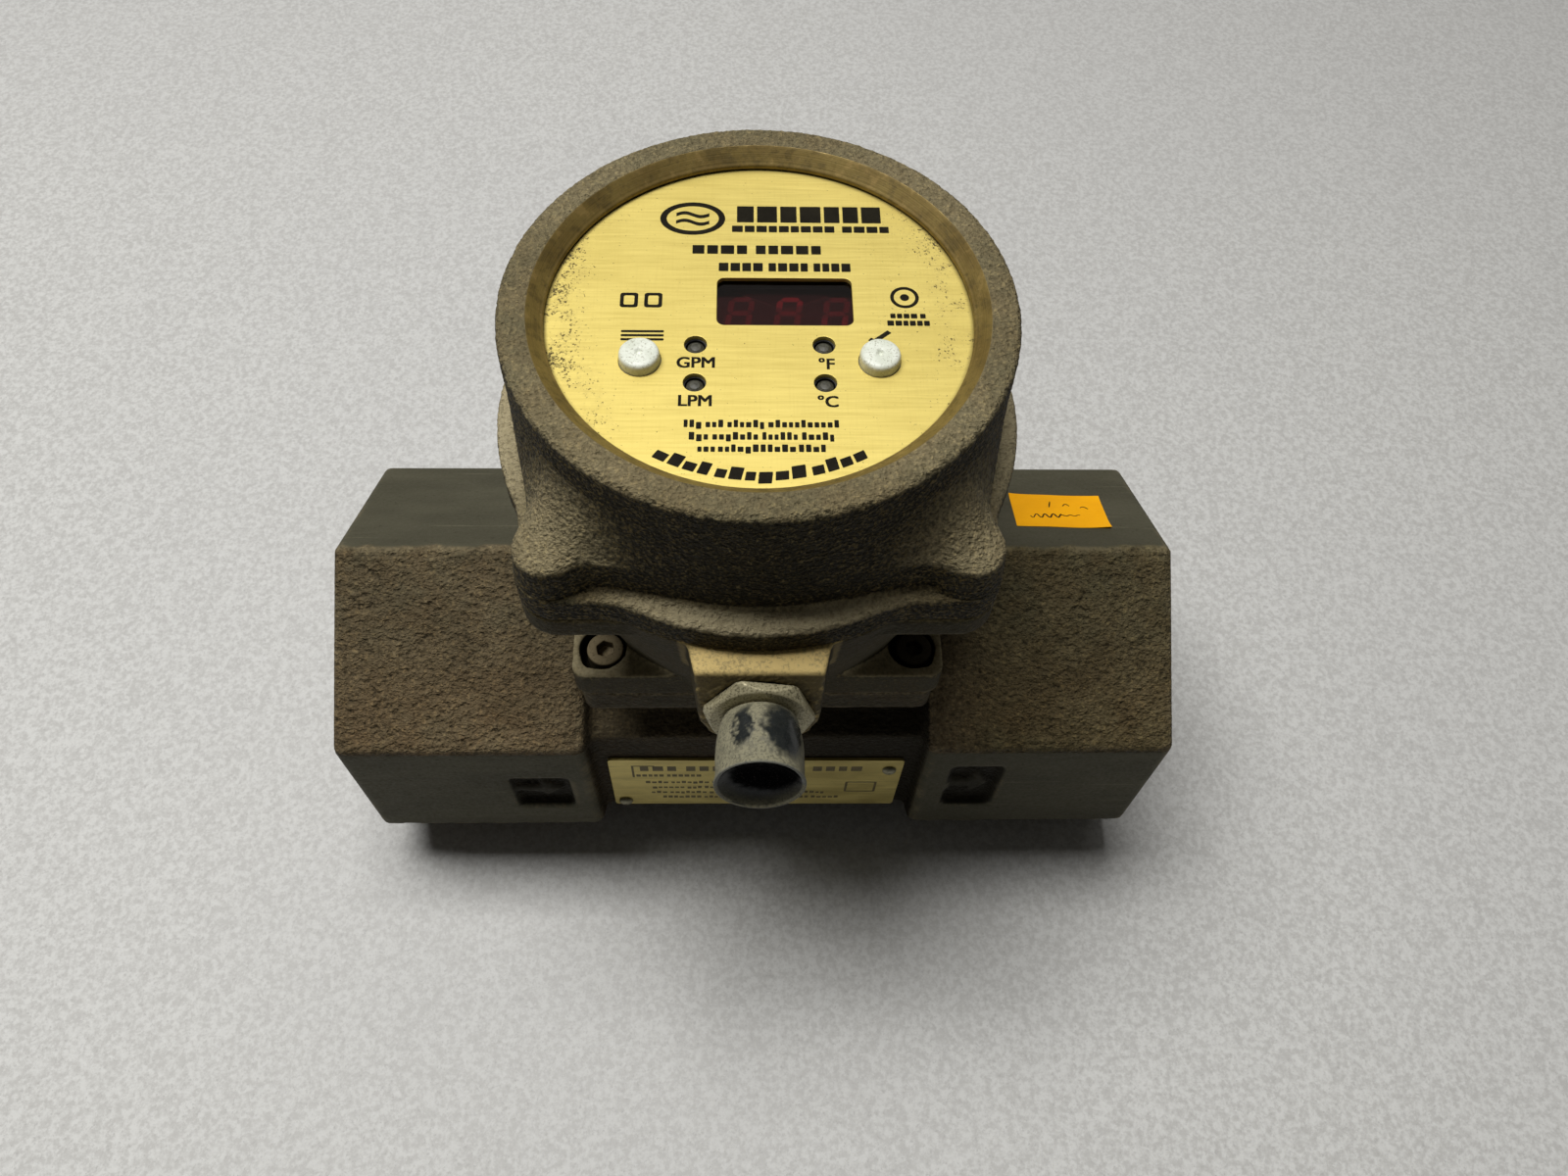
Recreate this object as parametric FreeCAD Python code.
# In-line vortex flow meter: a hexagonal pipe body carrying a round display housing.
# The pipe runs along X, flow toward +X. The front, with nameplate and connector, faces -Y.
# Shapes are drawn with the pipe axis at z = 0 and raised on saving, so the body rests on z = 0.
import FreeCAD, Part
import math
import os

V = FreeCAD.Vector
UP = V(0, 0, 1)

# ---- body (mm)
AXIS_H = 36.0            # pipe axis above the resting flat
HEX_AF = 73.0            # across flats of the hexagonal ends
BODY_L = 175.0
RECESS_HALF = 35.4       # half length of the recessed middle section
MID_AF = 64.4
BORE_R = 25.0
PORT_R = 28.5
PORT_DEPTH = 25.0
PORT_CHAMFER = 1.5
HALF_L = BODY_L / 2
HEX_FRONT = -HEX_AF / 2  # y of the front flats
MID_FRONT = -MID_AF / 2

# ---- pad and gasket under the housing
PAD_HALF = 34.2
PAD_CORNER = 6.0
PAD_LOW, PAD_TOP = 36.4, 44.2
GASKET_T = 0.8

# ---- wetted parts: nominal radii, each bore FIT larger and each part FIT smaller
FIT = 0.02
BAR_X, PICKUP_X, PROBE_X = -10.0, 12.0, 26.0
BAR_PLUG_R, PICKUP_R, PROBE_R = 9.0, 6.0, 3.0
BAR_FOOT_R = 3.5
HEAD_STEP = 2.0          # head radius over plug radius
SHOULDER_Z = 41.0        # seat of the plug heads
PLUG_LOW = 24.4
GROOVE_LOW = 33.0
SENSOR_TOP = 46.0

# ---- housing base
PLATE_HALF = 34.9
PLATE_LOW = PAD_TOP + GASKET_T
PLATE_TOP = 52.4
FOOT_R = 37.6            # bowl radius where it meets the plate
JOINT_Z = 82.2           # joint plane between base and cover
FLOOR_Z = 55.4
MOUNT_HEAD_Z = 48.2      # seat of the mounting screw heads
EAR_C = 33.2             # ear screw centre, in x and in y
EAR_R = 6.6
EAR_T = 5.5              # ear thickness below the joint

# ---- housing cover
FLANGE_R = 45.7
FLANGE_T = 6.1
EAR_TOP = 95.4
DRUM_R = 41.6
RIM_Z = 114.2
CHAMFER_RO, CHAMFER_RI, CHAMFER_Z = 36.7, 34.4, 111.8
CAVITY_R = 37.6
LOW_R = 39.6             # cavity at the joint plane

# ---- face panel
FACE_Z = 110.8           # top of the faceplate
FACE_T = 0.8
FACE_R = 37.4
FACE_SEAL_T = 0.3
FACE_SEAL_TOP = FACE_Z + FACE_SEAL_T
BUTTON_X, BUTTON_Y = 18.8, -9.2
WINDOW_X, WINDOW_Y = 4.1, 3.425
PANE_X = WINDOW_X + 0.3
DISPLAY_X, DISPLAY_Y = 4.7, 3.6
CARRIER_TOP = FACE_Z - FACE_T
CARRIER_LOW = CARRIER_TOP - 2.6    # underside of the carrier's disc

# ---- circuit boards
BOARD_T = 1.6
MAIN_LOW = 62.0
MAIN_TOP = MAIN_LOW + BOARD_T
DISPLAY_TOP = 101.0
DISPLAY_LOW = DISPLAY_TOP - BOARD_T
HEADER_H = 6.0

# ---- connector
CONN_TILT = 8.2          # degrees the axis rises toward the front
CONN_Y, CONN_Z = -50.8, 70.9
CONN_AF = 16.9
PIN_LOW = -17.4

# ---- screws: hex socket cap screws and cross-slot pan screws
CAP_SHANK_R, CAP_HEAD_R, CAP_HEAD_H, CAP_SOCKET_AF = 1.98, 3.5, 3.9, 3.0
SLOT_HALF = 0.22

# ---- hole patterns, (x, y)
SIGNS = [(-1, -1), (1, -1), (-1, 1), (1, 1)]
MOUNTS = [(sx * 29.2, sy * 28.7) for sx, sy in SIGNS]
EARS = [(sx * EAR_C, sy * EAR_C) for sx, sy in SIGNS]
STANDOFFS = [(-20, -17), (20, -17), (-20, 19), (20, 19)]
LEDS = [(side * 10.15, y) for side in (-1, 1) for y in (-5.9, -13.65)]
BUTTONS = [(side * BUTTON_X, BUTTON_Y) for side in (-1, 1)]


def on_circle(radius, degrees):
    return [(radius * math.cos(math.radians(a)), radius * math.sin(math.radians(a)))
            for a in degrees]


DISPLAY_SCREWS = on_circle(30.5, (90, 210, 330))
PINS = on_circle(2.5, (45, 135, 225, 315))
RIVETS = [(-30.3, -14.9), (29.5, 2.6)]    # (x, z)


# ---------------------------------------------------------------- shape helpers
def cylinder(radius, z0, z1, x=0.0, y=0.0):
    return Part.makeCylinder(radius, z1 - z0, V(x, y, z0), UP)


def cylinders(radius, z0, z1, places):
    return [cylinder(radius, z0, z1, x, y) for x, y in places]


def cone(low_radius, top_radius, z0, z1, x=0.0, y=0.0):
    return Part.makeCone(low_radius, top_radius, z1 - z0, V(x, y, z0), UP)


def tube(outer, inner, z0, z1, x=0.0, y=0.0):
    return cylinder(outer, z0, z1, x, y).cut(cylinder(inner, z0 - 1, z1 + 1, x, y))


def torus(ring_radius, cord_radius, z, x=0.0):
    return Part.makeTorus(ring_radius, cord_radius, V(x, 0, z), UP)


def box(x0, x1, y0, y1, z0, z1):
    return Part.makeBox(x1 - x0, y1 - y0, z1 - z0, V(x0, y0, z0))


def rounded_slab(half_x, half_y, radius, z0, z1, x=0.0, y=0.0):
    edges = []
    last = V(x - half_x + radius, y - half_y, z0)
    # corner signs and the angle at which its arc starts
    for sx, sy, start in ((1, -1, -90), (1, 1, 0), (-1, 1, 90), (-1, -1, 180)):
        centre = V(x + sx * (half_x - radius), y + sy * (half_y - radius), z0)
        arc = [centre + V(across, along, 0)
               for across, along in on_circle(radius, (start, start + 45, start + 90))]
        edges += [Part.makeLine(last, arc[0]), Part.Arc(*arc).toShape()]
        last = arc[2]
    return Part.Face(Part.Wire(edges)).extrude(V(0, 0, z1 - z0))


def polygon_face(points):
    return Part.Face(Part.makePolygon(points + [points[0]]))


def prism(outline, z0, z1):
    """Extrude an (x, y) outline upward."""
    return polygon_face([V(x, y, z0) for x, y in outline]).extrude(V(0, 0, z1 - z0))


def turned(profile, x=0.0, y=0.0):
    """Revolve a (radius, z) profile about a vertical axis."""
    solid = polygon_face([V(r, 0, z) for r, z in profile]).revolve(V(0, 0, 0), UP, 360)
    solid.translate(V(x, y, 0))
    return solid


def hex_along_x(across_flats, x0, x1):
    """Hexagonal bar along X with a corner on top."""
    corners = on_circle(across_flats / math.sqrt(3), range(90, 450, 60))
    return polygon_face([V(x0, y, z) for y, z in corners]).extrude(V(x1 - x0, 0, 0))


def hex_upright(across_flats, z0, z1, x=0.0, y=0.0):
    corners = on_circle(across_flats / math.sqrt(3), range(0, 360, 60))
    return prism([(x + across, y + along) for across, along in corners], z0, z1)


def fuse(shapes):
    return shapes[0].multiFuse(shapes[1:]).removeSplitter()


def cut(shape, tools):
    for tool in tools:
        shape = shape.cut(tool)
    return shape


def place_screw(screw, x, y, z, head_up):
    if not head_up:
        screw.rotate(V(0, 0, 0), V(1, 0, 0), 180)
    screw.translate(V(x, y, z))
    return screw


def cap_screw(length, x, y, z, head_up=True):
    """Socket screw with the underside of its head at z."""
    screw = cylinder(CAP_SHANK_R, -length, 0.2).fuse(cylinder(CAP_HEAD_R, 0, CAP_HEAD_H))
    screw = screw.cut(hex_upright(CAP_SOCKET_AF, CAP_HEAD_H - 2.2, CAP_HEAD_H + 1))
    # the outer rim of the head is the only edge this wide at the top
    rim = [e for e in screw.Edges
           if abs(e.BoundBox.ZMin - CAP_HEAD_H) < 1e-4
           and abs(e.BoundBox.XLength - 2 * CAP_HEAD_R) < 1e-3]
    return place_screw(screw.makeChamfer(0.35, rim[:1]), x, y, z, head_up)


def pan_screw(shank_r, length, head_r, head_h, x, y, z, head_up=True):
    """Cross-slot screw with the underside of its head at z."""
    head = turned([(0, 0), (head_r, 0), (head_r, head_h * 0.55),
                   (head_r * 0.75, head_h * 0.9), (head_r * 0.4, head_h), (0, head_h)])
    reach = head_r * 0.62
    low, high = head_h * 0.45, head_h + 1
    screw = cut(cylinder(shank_r, -length, 0.1).fuse(head), [
        box(-reach, reach, -SLOT_HALF, SLOT_HALF, low, high),
        box(-SLOT_HALF, SLOT_HALF, -reach, reach, low, high)])
    return place_screw(screw, x, y, z, head_up)


# ---------------------------------------------------------------- cast body
# cast pockets in the front flats: x0, x1, z0, z1, arrow length, arrow height
POCKETS = [(-53.7, -41.3, -9.5, 6.0, 8.4, 9.5),
           (42.4, 53.4, -10.0, 11.4, 7.6, 12.0)]


def flow_arrow(x0, x1, z0, z1, length, height):
    """Raised arrow pointing to +X in the middle of a pocket."""
    x, z = (x0 + x1) / 2, (z0 + z1) / 2
    tail, tip, stem = x - length / 2, x + length / 2, height * 0.16
    outline = [(tail, z - stem), (x, z - stem), (x, z - height / 2), (tip, z),
               (x, z + height / 2), (x, z + stem), (tail, z + stem)]
    y0, y1 = HEX_FRONT + 0.7, HEX_FRONT + 3.0
    return polygon_face([V(a, y0, b) for a, b in outline]).extrude(V(0, y1 - y0, 0))


def sensor_bores():
    tools = []
    for radius, x in ((BAR_PLUG_R, BAR_X), (PICKUP_R, PICKUP_X), (PROBE_R, PROBE_X)):
        tools += [cylinder(radius + FIT, 15.0, PAD_TOP + 1, x),
                  cylinder(radius + HEAD_STEP + FIT, SHOULDER_Z, PAD_TOP + 1, x)]
    tools.insert(2, cylinder(BAR_FOOT_R + FIT, -30.0, -20.0, BAR_X))
    return tools


def meter_body():
    ends = []
    for x0, x1 in ((-HALF_L, -RECESS_HALF), (RECESS_HALF, HALF_L)):
        end = hex_along_x(HEX_AF, x0, x1)
        ends.append(end.makeFillet(1.3, end.Edges))
    reach = RECESS_HALF + 3    # middle features run on into the ends
    body = fuse([
        ends[0],
        hex_along_x(MID_AF, -reach, reach),
        ends[1],
        rounded_slab(PAD_HALF, PAD_HALF, PAD_CORNER, PAD_LOW, PAD_TOP),
        rounded_slab(33.0, 26.5, 4.0, 12.0, PAD_LOW + 0.5),    # pedestal
        box(-reach, reach, -8.0, 8.0, 30.0, 40.2),             # upper ridge
        box(-reach, reach, -10.0, 10.0, -AXIS_H - 4, -28.0)])  # keel
    # resting flat
    body = body.cut(box(-HALF_L - 5, HALF_L + 5, -60, 60, -80, -AXIS_H))
    # flow bore and ports
    body = body.cut(Part.makeCylinder(BORE_R, BODY_L + 20, V(-HALF_L - 10, 0, 0), V(1, 0, 0)))
    for side in (-1, 1):
        inward = V(-side, 0, 0)
        face = V(side * HALF_L, 0, 0)
        port_end = V(side * (HALF_L - PORT_DEPTH), 0, 0)
        body = cut(body, [
            Part.makeCylinder(PORT_R, PORT_DEPTH, face, inward),
            Part.makeCone(PORT_R + PORT_CHAMFER, PORT_R, PORT_CHAMFER, face, inward),
            Part.makeCone(PORT_R, BORE_R, 2.5, port_end, inward)])
    body = cut(body, sensor_bores() + cylinders(2.0, 37.4, PAD_TOP + 1, MOUNTS))
    body = cut(body, [box(x0, x1, HEX_FRONT - 1, HEX_FRONT + 2.2, z0, z1)
                      for x0, x1, z0, z1, _, _ in POCKETS])
    for pocket in POCKETS:
        body = body.fuse(flow_arrow(*pocket))
    body = cut(body, [Part.makeCylinder(1.2, 7.0, V(x, MID_FRONT - 0.5, z), V(0, 1, 0))
                      for x, z in RIVETS])
    return body.removeSplitter()


# ---------------------------------------------------------------- wetted parts
def plug_profile(nominal_radius, groove_radius, groove_top):
    """Outer side of a grooved, headed plug, from its lower end to the pad top."""
    radius = nominal_radius - FIT
    head = radius + HEAD_STEP
    seat = SHOULDER_Z + FIT
    return [(radius, PLUG_LOW), (radius, GROOVE_LOW), (groove_radius, GROOVE_LOW),
            (groove_radius, groove_top), (radius, groove_top), (radius, seat),
            (head, seat), (head, PAD_TOP)]


def stem_profile(radius):
    return [(radius, PAD_TOP), (radius, SENSOR_TOP), (0, SENSOR_TOP)]


def shedder_bar():
    back, taper, tip = BAR_X - 7.0, BAR_X - 4.8, BAR_X + 7.0
    bar = prism([(back, -5.3), (back, 5.3), (taper, 5.3), (tip, 1.9), (tip, -1.9),
                 (taper, -5.3)], -23.6, 24.6)
    plug = turned([(0, PLUG_LOW)] + plug_profile(BAR_PLUG_R, 7.5, 35.4) + [(0, PAD_TOP)], BAR_X)
    return fuse([bar, plug, cylinder(BAR_FOOT_R - FIT, -29.5, -23.0, BAR_X)])


def vortex_pickup():
    plug = turned([(0, PLUG_LOW)] + plug_profile(PICKUP_R, 4.6, 35.0) + stem_profile(3.0),
                  PICKUP_X)
    plug = plug.cut(cylinder(2.2, 44.9, 47.0, PICKUP_X))
    vane = rounded_slab(4.0, 0.8, 0.7, -9.0, 25.0, PICKUP_X)
    return fuse([plug, vane])


def temperature_probe():
    tip = [(0, 3.0), (1.6, 3.0), (2.4, 4.0), (2.4, PLUG_LOW)]
    probe = turned(tip + plug_profile(PROBE_R, 2.0, 34.6) + stem_profile(1.9), PROBE_X)
    return probe.cut(cylinder(1.4, 44.9, 47.0, PROBE_X))


def sensor_o_rings():
    return Part.makeCompound([torus(8.25, 0.73, 34.2, BAR_X), torus(5.3, 0.68, 34.0, PICKUP_X),
                              torus(2.51, 0.48, 33.8, PROBE_X)])


# ---------------------------------------------------------------- housing base
def on_connector(shape):
    """Lay a shape drawn along +Z, mounting face at z = 0, onto the connector axis."""
    tilt = FreeCAD.Rotation(V(1, 0, 0), 90 - CONN_TILT)
    shape = shape.copy()
    shape.Placement = FreeCAD.Placement(V(0, CONN_Y, CONN_Z), tilt).multiply(shape.Placement)
    return shape


def mounting_gasket():
    gasket = rounded_slab(PAD_HALF, PAD_HALF, PAD_CORNER, PAD_TOP, PLATE_LOW)
    return cut(gasket, cylinders(2.4, 40, 50, MOUNTS) + [
        cylinder(6.5, 40, 50, BAR_X), cylinder(4.6, 40, 50, PICKUP_X),
        cylinder(2.6, 40, 50, PROBE_X)])


def connector_boss():
    """Flat-topped boss with a rounded underside, its front square to the connector axis."""
    plan = prism([(-12.8, -34.5), (-11.7, -44.2), (-9.7, -53.5),
                  (9.7, -53.5), (11.7, -44.2), (12.8, -34.5)], 56.0, 82.0)
    section = cylinder(10.6, -24.0, 0.0).fuse(box(-13.5, 13.5, 0.0, 16.0, -24.0, 0.0))
    return plan.common(on_connector(section))


def ear_slab(z0, z1):
    return rounded_slab(EAR_C + EAR_R, EAR_C + EAR_R, EAR_R, z0, z1)


def housing_base():
    overlap = 1.4    # bowl runs down into the plate at its own slope
    slope = (FLANGE_R - FOOT_R) / (JOINT_Z - PLATE_TOP)
    base = fuse([
        rounded_slab(PLATE_HALF, PLATE_HALF, 5.5, PLATE_LOW, PLATE_TOP),
        cone(FOOT_R - overlap * slope, FLANGE_R, PLATE_TOP - overlap, JOINT_Z),
        ear_slab(JOINT_Z - EAR_T, JOINT_Z)])
    base = base.cut(cone(33.5, LOW_R + 0.2, FLOOR_Z, JOINT_Z + 0.9))
    base = fuse([base, connector_boss()])
    # connector bore and O-ring recess
    base = cut(base, [on_connector(cylinder(7.0, -26.0, 3.0)),
                      on_connector(cylinder(8.3, -1.2, 3.0))])
    for x, y in MOUNTS:
        base = cut(base, [cylinder(2.3, 40, 50, x, y), cylinder(4.0, MOUNT_HEAD_Z, 60.5, x, y)])
    for x, y in EARS:
        base = cut(base, [cylinder(2.3, 70, 90, x, y),
                          cylinder(3.9, 71.0, JOINT_Z - EAR_T, x, y)])
    # groove for the joint seal, then lead passages and standoff holes
    base = base.cut(tube(43.3, 41.1, JOINT_Z - 1.6, JOINT_Z + 1))
    base = cut(base, [cylinder(3.3, 40, 60, PICKUP_X), cylinder(2.2, 40, 60, PROBE_X)])
    return cut(base, cylinders(1.5, 50.5, 60, STANDOFFS))


def mounting_screws():
    return Part.makeCompound([cap_screw(10.4, x, y, MOUNT_HEAD_Z) for x, y in MOUNTS])


def joint_seal():
    inner, outer = 41.25, 43.15
    low, shoulder = JOINT_Z - 1.5, JOINT_Z - 0.3
    return turned([(inner, low), (outer, low), (outer, shoulder), (42.7, JOINT_Z),
                   (41.7, JOINT_Z), (inner, shoulder)])


# ---------------------------------------------------------------- housing cover
# (radius, z) up the cavity wall, with the retaining ring groove
CAVITY_WALL = [(LOW_R, 88.0), (CAVITY_R, 91.0), (CAVITY_R, 95.65), (38.9, 95.65),
               (38.9, 97.35), (CAVITY_R, 97.35), (CAVITY_R, FACE_SEAL_TOP)]


def cover_ear(sx, sy):
    """Web to the drum, tapered lobe and the cone leading up the drum wall."""
    diagonal = math.sqrt(0.5)
    lobe_top_r = EAR_R - 0.7
    screw_out = math.hypot(EAR_C, EAR_C)
    ux, uy = sx * diagonal, sy * diagonal
    # web outline: distance out along the diagonal, distance to its side
    outline = [(screw_out, lobe_top_r), (39.8, 12.2), (39.0, 11.0),
               (39.0, -11.0), (39.8, -12.2), (screw_out, -lobe_top_r)]
    web = prism([(out * ux - side * uy, out * uy + side * ux) for out, side in outline],
                JOINT_Z + 1.0, EAR_TOP)
    lobe = cone(EAR_R, lobe_top_r, JOINT_Z, EAR_TOP, sx * EAR_C, sy * EAR_C)
    ramp = cone(9.0, 3.6, EAR_TOP - 0.2, 104.5, 40.6 * ux, 40.6 * uy)
    return [web, lobe, ramp]


def housing_cover():
    flange_top = JOINT_Z + FLANGE_T
    drum = turned([
        (LOW_R, JOINT_Z), (FLANGE_R, JOINT_Z), (FLANGE_R, flange_top - 0.8),
        (FLANGE_R - 0.8, flange_top), (DRUM_R + 0.9, flange_top + 0.3),
        (DRUM_R + 0.3, flange_top + 1.2), (DRUM_R, 96.0), (DRUM_R, RIM_Z - 1.6),
        (DRUM_R - 0.3, RIM_Z - 0.6), (DRUM_R - 1.1, RIM_Z), (CHAMFER_RO, RIM_Z),
        (CHAMFER_RI, CHAMFER_Z), (CHAMFER_RI, FACE_SEAL_TOP)] + CAVITY_WALL[::-1])
    parts = [drum]
    for sx, sy in SIGNS:
        parts += cover_ear(sx, sy)
    skirt = ear_slab(JOINT_Z, flange_top).cut(cylinder(41.0, JOINT_Z - 1, JOINT_Z + 20))
    cover = fuse(parts + [skirt])
    # clear whatever the ears left inside the drum
    cover = cover.cut(turned([(0, JOINT_Z - 1), (LOW_R, JOINT_Z - 1)] + CAVITY_WALL
                             + [(0, FACE_SEAL_TOP)]))
    return cut(cover, cylinders(2.0, JOINT_Z - 1, JOINT_Z + 9.5, EARS))


def cover_screws():
    return Part.makeCompound([cap_screw(13.0, x, y, JOINT_Z - EAR_T, head_up=False)
                              for x, y in EARS])


# ---------------------------------------------------------------- face panel
def faceplate():
    face = cylinder(FACE_R, FACE_Z - FACE_T, FACE_Z)
    face = face.cut(rounded_slab(11.0, 5.175, 1.3, FACE_Z - 3, FACE_Z + 3, WINDOW_X, WINDOW_Y))
    return cut(face, cylinders(1.8, 100, 120, LEDS) + cylinders(3.35, 100, 120, BUTTONS))


def face_seal():
    return tube(FACE_R, 34.6, FACE_Z, FACE_SEAL_TOP)


def panel_carrier():
    over = CARRIER_TOP + 1
    carrier = cylinder(37.3, 97.3, CARRIER_TOP).cut(cylinder(35.2, 90, CARRIER_LOW))
    carrier = fuse([carrier] + cylinders(3.0, DISPLAY_TOP, CARRIER_LOW + 0.5, DISPLAY_SCREWS))
    carrier = cut(carrier, cylinders(0.9, 90, 106.5, DISPLAY_SCREWS))
    # window seat and display opening
    carrier = cut(carrier, [
        rounded_slab(13.0, 6.9, 1.0, CARRIER_TOP - 1.5, over, PANE_X, WINDOW_Y),
        rounded_slab(12.7, 5.7, 0.5, 100, over, DISPLAY_X, DISPLAY_Y)])
    return cut(carrier, cylinders(1.6, 100, 115, LEDS) + cylinders(2.56, 100, 115, BUTTONS)
               + cylinders(4.6, CARRIER_TOP - 2.0, 115, BUTTONS))


def retaining_ring():
    low, top = 95.7, 97.25
    lugs = [(-6.4, 34.6), (6.4, 34.6)]
    ring = tube(38.8, 34.4, low, top).cut(box(-4.5, 4.5, 30, 45, 90, 100))
    ring = fuse([ring] + [tube(2.6, 1.0, low, top, x, y) for x, y in lugs])
    return cut(ring, cylinders(1.0, 90, 100, lugs))


def display_window():
    return rounded_slab(12.9, 6.8, 0.9, CARRIER_TOP - 1.45, CARRIER_TOP - 0.02,
                        PANE_X, WINDOW_Y)


def led_display():
    return rounded_slab(12.5, 5.5, 0.4, DISPLAY_TOP, 107.7, DISPLAY_X, DISPLAY_Y)


def indicator_leds():
    rim_top = DISPLAY_TOP + 1.0
    profile = [(0, DISPLAY_TOP), (1.9, DISPLAY_TOP), (1.9, rim_top), (1.5, rim_top),
               (1.5, 109.2), (1.3, 109.8), (0.8, 110.2), (0, 110.35)]
    return Part.makeCompound([turned(profile, x, y) for x, y in LEDS])


def button(x, y):
    return turned([
        (0, 105.12), (2.5, 105.12), (2.5, 108.65), (4.5, 108.65), (4.5, 109.95),
        (3.25, 109.95), (3.25, 111.9), (3.1, 112.4), (2.75, 112.75), (2.2, 112.85),
        (1.0, 112.9), (0.55, 112.75), (0, 112.3)], x, y)


def switch(x, y):
    case = rounded_slab(3.0, 3.0, 0.4, DISPLAY_TOP, 104.2, x, y)
    return case.cut(cylinder(1.8, 102.8, 110, x, y))


def plunger(x, y):
    return cylinder(1.75, 103.4, 105.1, x, y)


def display_board():
    return cut(cylinder(34.8, DISPLAY_LOW, DISPLAY_TOP),
               cylinders(1.05, 90, 110, DISPLAY_SCREWS))


def display_screws():
    return Part.makeCompound([pan_screw(0.88, 5.0, 1.9, 1.4, x, y, DISPLAY_LOW, head_up=False)
                              for x, y in DISPLAY_SCREWS])


# ---------------------------------------------------------------- electronics in the base
def main_board():
    return cut(cylinder(31.0, MAIN_LOW, MAIN_TOP), cylinders(1.6, 60, 66, STANDOFFS))


def board_standoffs():
    standoffs = []
    for x, y in STANDOFFS:
        post = hex_upright(5.0, FLOOR_Z, MAIN_LOW, x, y)
        post = post.fuse(cylinder(1.45, 51.0, FLOOR_Z + 0.2, x, y))
        standoffs.append(post.cut(cylinder(1.5, 57.5, MAIN_LOW + 1, x, y)))
    return Part.makeCompound(standoffs)


def board_screws():
    return Part.makeCompound([pan_screw(1.45, 5.4, 2.75, 2.0, x, y, MAIN_TOP)
                              for x, y in STANDOFFS])


def processor_chip():
    x0, x1, y0, y1 = -13.0, -3.0, 1.0, 11.0
    out, into = 1.3, 0.1    # leg reach outside and inside the case
    low, top = MAIN_TOP, MAIN_TOP + 0.6
    parts = [box(x0, x1, y0, y1, MAIN_TOP + 0.15, MAIN_TOP + 1.6)]
    for i in range(7):
        start = 0.7 + i * 1.35
        end = start + 0.5
        parts += [box(x0 - out, x0 + into, y0 + start, y0 + end, low, top),
                  box(x1 - into, x1 + out, y0 + start, y0 + end, low, top),
                  box(x0 + start, x0 + end, y0 - out, y0 + into, low, top),
                  box(x0 + start, x0 + end, y1 - into, y1 + out, low, top)]
    return fuse(parts)


def filter_capacitor():
    # (radius, height above the board)
    profile = [(0, 0), (5.0, 0), (5.0, 1.6), (4.7, 1.9), (4.7, 2.3), (5.0, 2.6),
               (5.0, 12.0), (4.5, 12.5), (0, 12.5)]
    return turned([(r, MAIN_TOP + h) for r, h in profile], 16.0, 3.0)


def terminal_block():
    return cut(box(-10.0, 10.0, -23.9, -16.4, MAIN_TOP, MAIN_TOP + 9.6),
               cylinders(1.7, MAIN_TOP + 7.6, MAIN_TOP + 12,
                         [(-7.5 + 5.0 * i, -20.0) for i in range(4)]))


def board_headers():
    return Part.makeCompound([box(-9.0, 9.0, 19.4, 24.6, z, z + HEADER_H)
                              for z in (MAIN_TOP, DISPLAY_LOW - HEADER_H)])


def ribbon_cable():
    return box(-6.4, 6.4, 21.55, 22.45, MAIN_TOP + HEADER_H, DISPLAY_LOW - HEADER_H)


def sensor_wires():
    # wire radius, sensor x, offset of each wire from it
    return Part.makeCompound([cylinder(radius, 45.0, MAIN_LOW, x + side * offset)
                              for radius, x, offset in ((0.5, PICKUP_X, 0.9), (0.4, PROBE_X, 0.6))
                              for side in (-1, 1)])


# ---------------------------------------------------------------- connector
def connector_shell():
    nut = hex_upright(CONN_AF, 0.0, 1.9)
    # trims the hexagon's corners and bevels its front
    nut = nut.common(cone(9.76, 9.0, 0.9, 1.9).fuse(cylinder(9.76, 0.0, 0.9)))
    shell = fuse([nut, cylinder(6.97, -16.0, 0.0), cylinder(5.95, 1.5, 12.0)])
    return on_connector(shell.cut(cylinder(4.4, -20, 20)))


def connector_o_ring():
    return on_connector(torus(7.66, 0.58, -0.6))


def connector_insert():
    return on_connector(cut(cylinder(4.36, -14.0, 6.0), cylinders(0.52, -20, 20, PINS)))


def connector_pins():
    return on_connector(Part.makeCompound(cylinders(0.5, PIN_LOW, 11.0, PINS)))


def connector_wires():
    return on_connector(Part.makeCompound(cylinders(0.6, -26.9, PIN_LOW, PINS)))


def connector_cap():
    return on_connector(turned([
        (6.0, 2.2), (6.9, 2.2), (7.25, 2.9), (7.3, 11.4), (7.1, 12.5), (7.3, 13.3),
        (7.6, 14.2), (6.9, 14.2), (5.3, 12.95), (0, 12.95), (0, 12.2), (6.0, 12.2)]))


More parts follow.
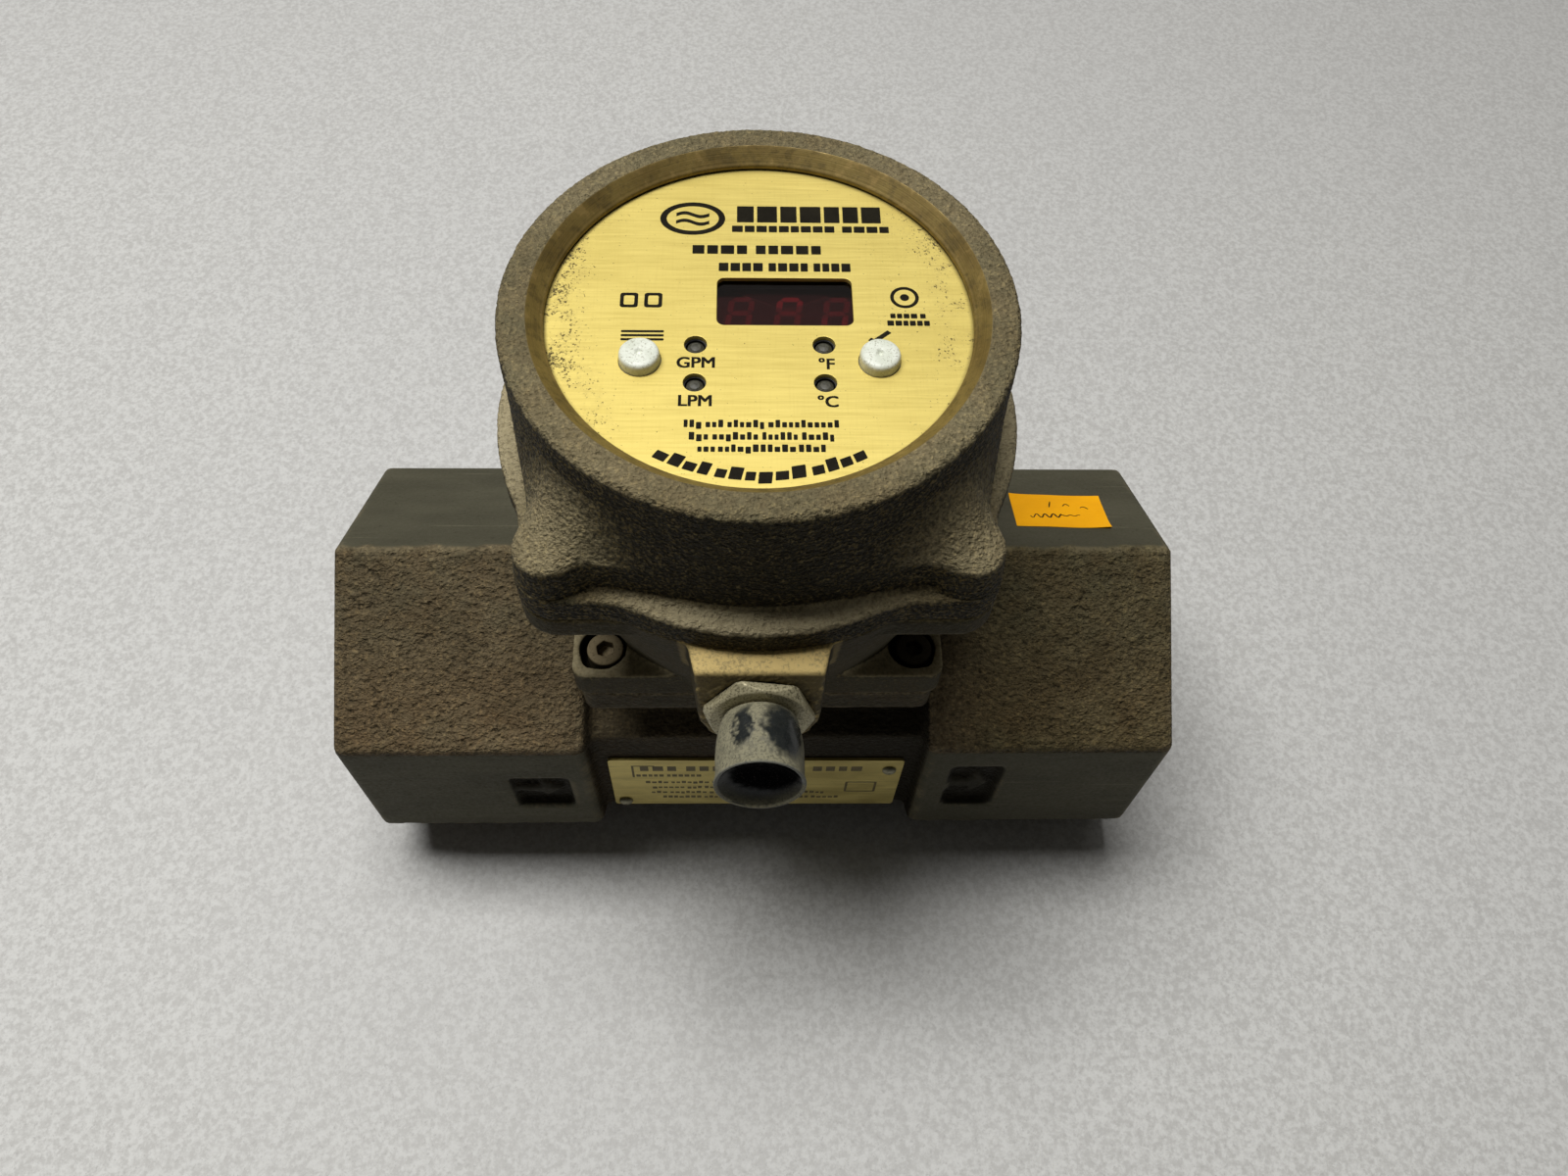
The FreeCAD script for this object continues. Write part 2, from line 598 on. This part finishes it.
# ---------------------------------------------------------------- nameplate and label
def nameplate():
    thickness = 0.8
    plate = box(-32.6, 32.6, MID_FRONT - thickness, MID_FRONT, -12.95, 12.95)
    corners = [e for e in plate.Edges if abs(e.BoundBox.YLength - thickness) < 1e-6]
    plate = plate.makeFillet(1.0, corners)
    plate.rotate(V(0, 0, 0), V(0, 1, 0), 0.8)    # sits slightly askew
    plate.translate(V(-0.15, 0, -5.0))
    return cut(plate, [Part.makeCylinder(1.25, 4.0, V(x, MID_FRONT - 2.0, z), V(0, 1, 0))
                       for x, z in RIVETS])


def nameplate_rivets():
    rivets = []
    for x, z in RIVETS:
        rivet = turned([(0, -6.0), (0.7, -6.0), (1.15, -5.2), (1.15, 0.8), (1.6, 0.8),
                        (1.55, 1.15), (1.2, 1.6), (0.6, 1.85), (0, 1.9)])
        rivet.rotate(V(0, 0, 0), V(1, 0, 0), 90)
        rivet.translate(V(x, MID_FRONT, z))
        rivets.append(rivet)
    return Part.makeCompound(rivets)


def paper_label():
    """Label on the back upper flat of the +X end."""
    below_corner = 18.2    # label centre down the flat from the top corner
    sin30, cos30 = 0.5, math.cos(math.radians(30))
    apothem = HEX_AF / 2
    label = Part.makeBox(20.4, 16.4, 0.12, V(-10.2, -8.2, 0))
    label.rotate(V(0, 0, 0), UP, 4.0)
    label.rotate(V(0, 0, 0), V(1, 0, 0), -30.0)
    down_flat = below_corner - apothem * math.tan(math.radians(30))
    label.translate(V(67.3, 0, 0) + V(0, sin30, cos30) * apothem
                    + V(0, cos30, -sin30) * down_flat)
    return label


# ---------------------------------------------------------------- export
def save(name, shape):
    raised = shape.copy()
    raised.translate(V(0, 0, AXIS_H))
    raised.exportStep("parts/" + name + ".step")


os.makedirs("parts", exist_ok=True)
# each file is named after its function
for build in (
        meter_body, shedder_bar, vortex_pickup, temperature_probe, sensor_o_rings,
        mounting_gasket, housing_base, mounting_screws, joint_seal, housing_cover,
        cover_screws, faceplate, face_seal, panel_carrier, retaining_ring, display_window,
        led_display, indicator_leds, display_board, display_screws, main_board,
        board_standoffs, board_screws, processor_chip, filter_capacitor, terminal_block,
        board_headers, ribbon_cable, sensor_wires, connector_shell, connector_o_ring,
        connector_insert, connector_pins, connector_wires, connector_cap, nameplate,
        nameplate_rivets, paper_label):
    save(build.__name__, build())
for side, place in zip(("menu", "set"), BUTTONS):
    for build in (button, switch, plunger):
        save(side + "_" + build.__name__, build(*place))
